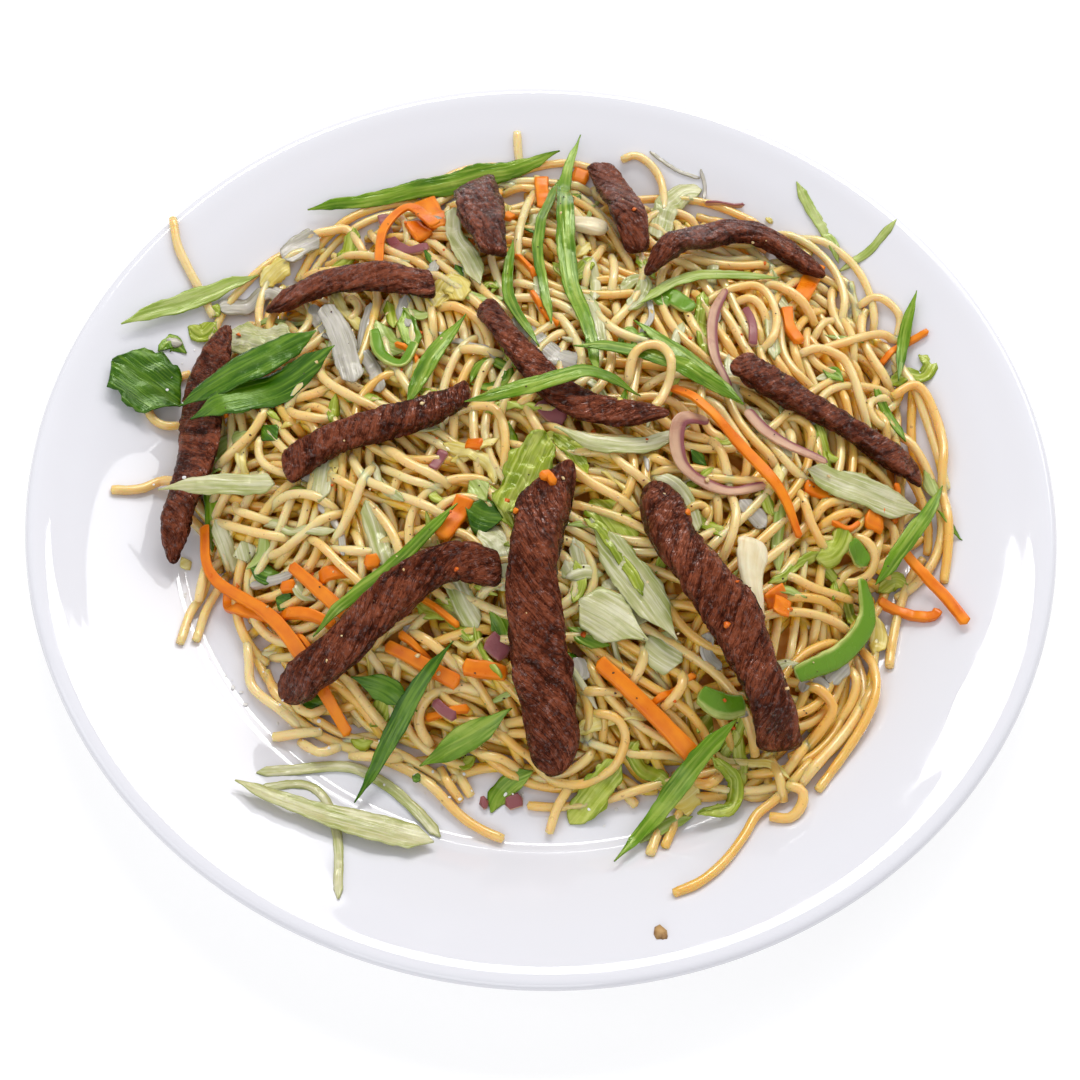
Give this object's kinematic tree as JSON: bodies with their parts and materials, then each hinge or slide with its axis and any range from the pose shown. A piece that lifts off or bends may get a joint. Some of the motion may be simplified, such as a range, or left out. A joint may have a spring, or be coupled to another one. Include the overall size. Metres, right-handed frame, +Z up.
{
  "type": "plate of chow mein",
  "caption": "Round white dinner plate with a heap of fried wheat noodles topped with beef strips, spring onion, carrot, leek, cabbage, pepper and red onion.",
  "frame": {"origin": "under the middle of the round plate, on the surface that it stands on", "axes": "+Z up, +X to the right and +Y away from the diner, as the picture looks at it from the front"},
  "size_m": [0.27, 0.27, 0.0439],
  "materials": {
    "white_glaze": "glossy white glaze",
    "wheat_noodle": "cooked wheat noodle, lightly oiled",
    "beef": "dark fried beef, semi-gloss",
    "blade": "spring onion green, waxy",
    "carrot": "cooked carrot, moist",
    "leek": "pale leek and spring onion white, moist",
    "cabbage": "cooked cabbage, moist",
    "onion": "red onion, moist",
    "pepper": "green pepper, moist",
    "garlic": "garlic, moist"
  },
  "bodies": {
    "root": {"beef_centre": "beef", "beef_far": "beef", "beef_far_middle": "beef", "beef_far_right": "beef", "beef_front": "beef", "beef_front_left": "beef", "beef_front_right": "beef", "beef_left": "beef", "beef_middle_left": "beef", "beef_right": "beef", "beef_upper_left": "beef", "blade_back_left": "blade", "blade_back_long": "blade", "blade_back_thin": "blade", "blade_centre_right": "blade", "blade_far": "blade", "blade_far_left": "blade", "blade_front": "blade", "blade_front_left": "blade", "blade_front_right": "blade", "blade_front_tip": "blade", "blade_left_high": "blade", "blade_left_low": "blade", "blade_middle_short": "blade", "blade_over_beef": "blade", "blade_over_onion": "blade", "blade_right_back": "blade", "blade_right_edge": "blade", "blade_right_low": "blade", "cabbage_left": "cabbage", "cabbage_middle": "cabbage", "cabbage_rib": "cabbage", "cabbage_ribbon": "cabbage", "carrot_back_curl": "carrot", "carrot_chunk": "carrot", "carrot_front": "carrot", "carrot_front_right": "carrot", "carrot_left_long": "carrot", "carrot_left_short": "carrot", "carrot_long": "carrot", "carrot_right_end": "carrot", "garlic_back": "garlic", "leaf_front_left": "blade", "leaf_left": "blade", "leek_back_shred": "leek", "leek_fallen_wide": "leek", "leek_front_long": "leek", "leek_front_wide": "leek", "leek_left": "leek", "leek_right": "leek", "leek_tongue": "leek", "leek_under_beef": "leek", "noodles": "wheat_noodle", "onion_hook": "onion", "onion_right_arc": "onion", "onion_right_low": "onion", "pepper_curl": "pepper", "pepper_front": "pepper", "pepper_right": "pepper", "plate": "white_glaze"}
  },
  "joints": []
}
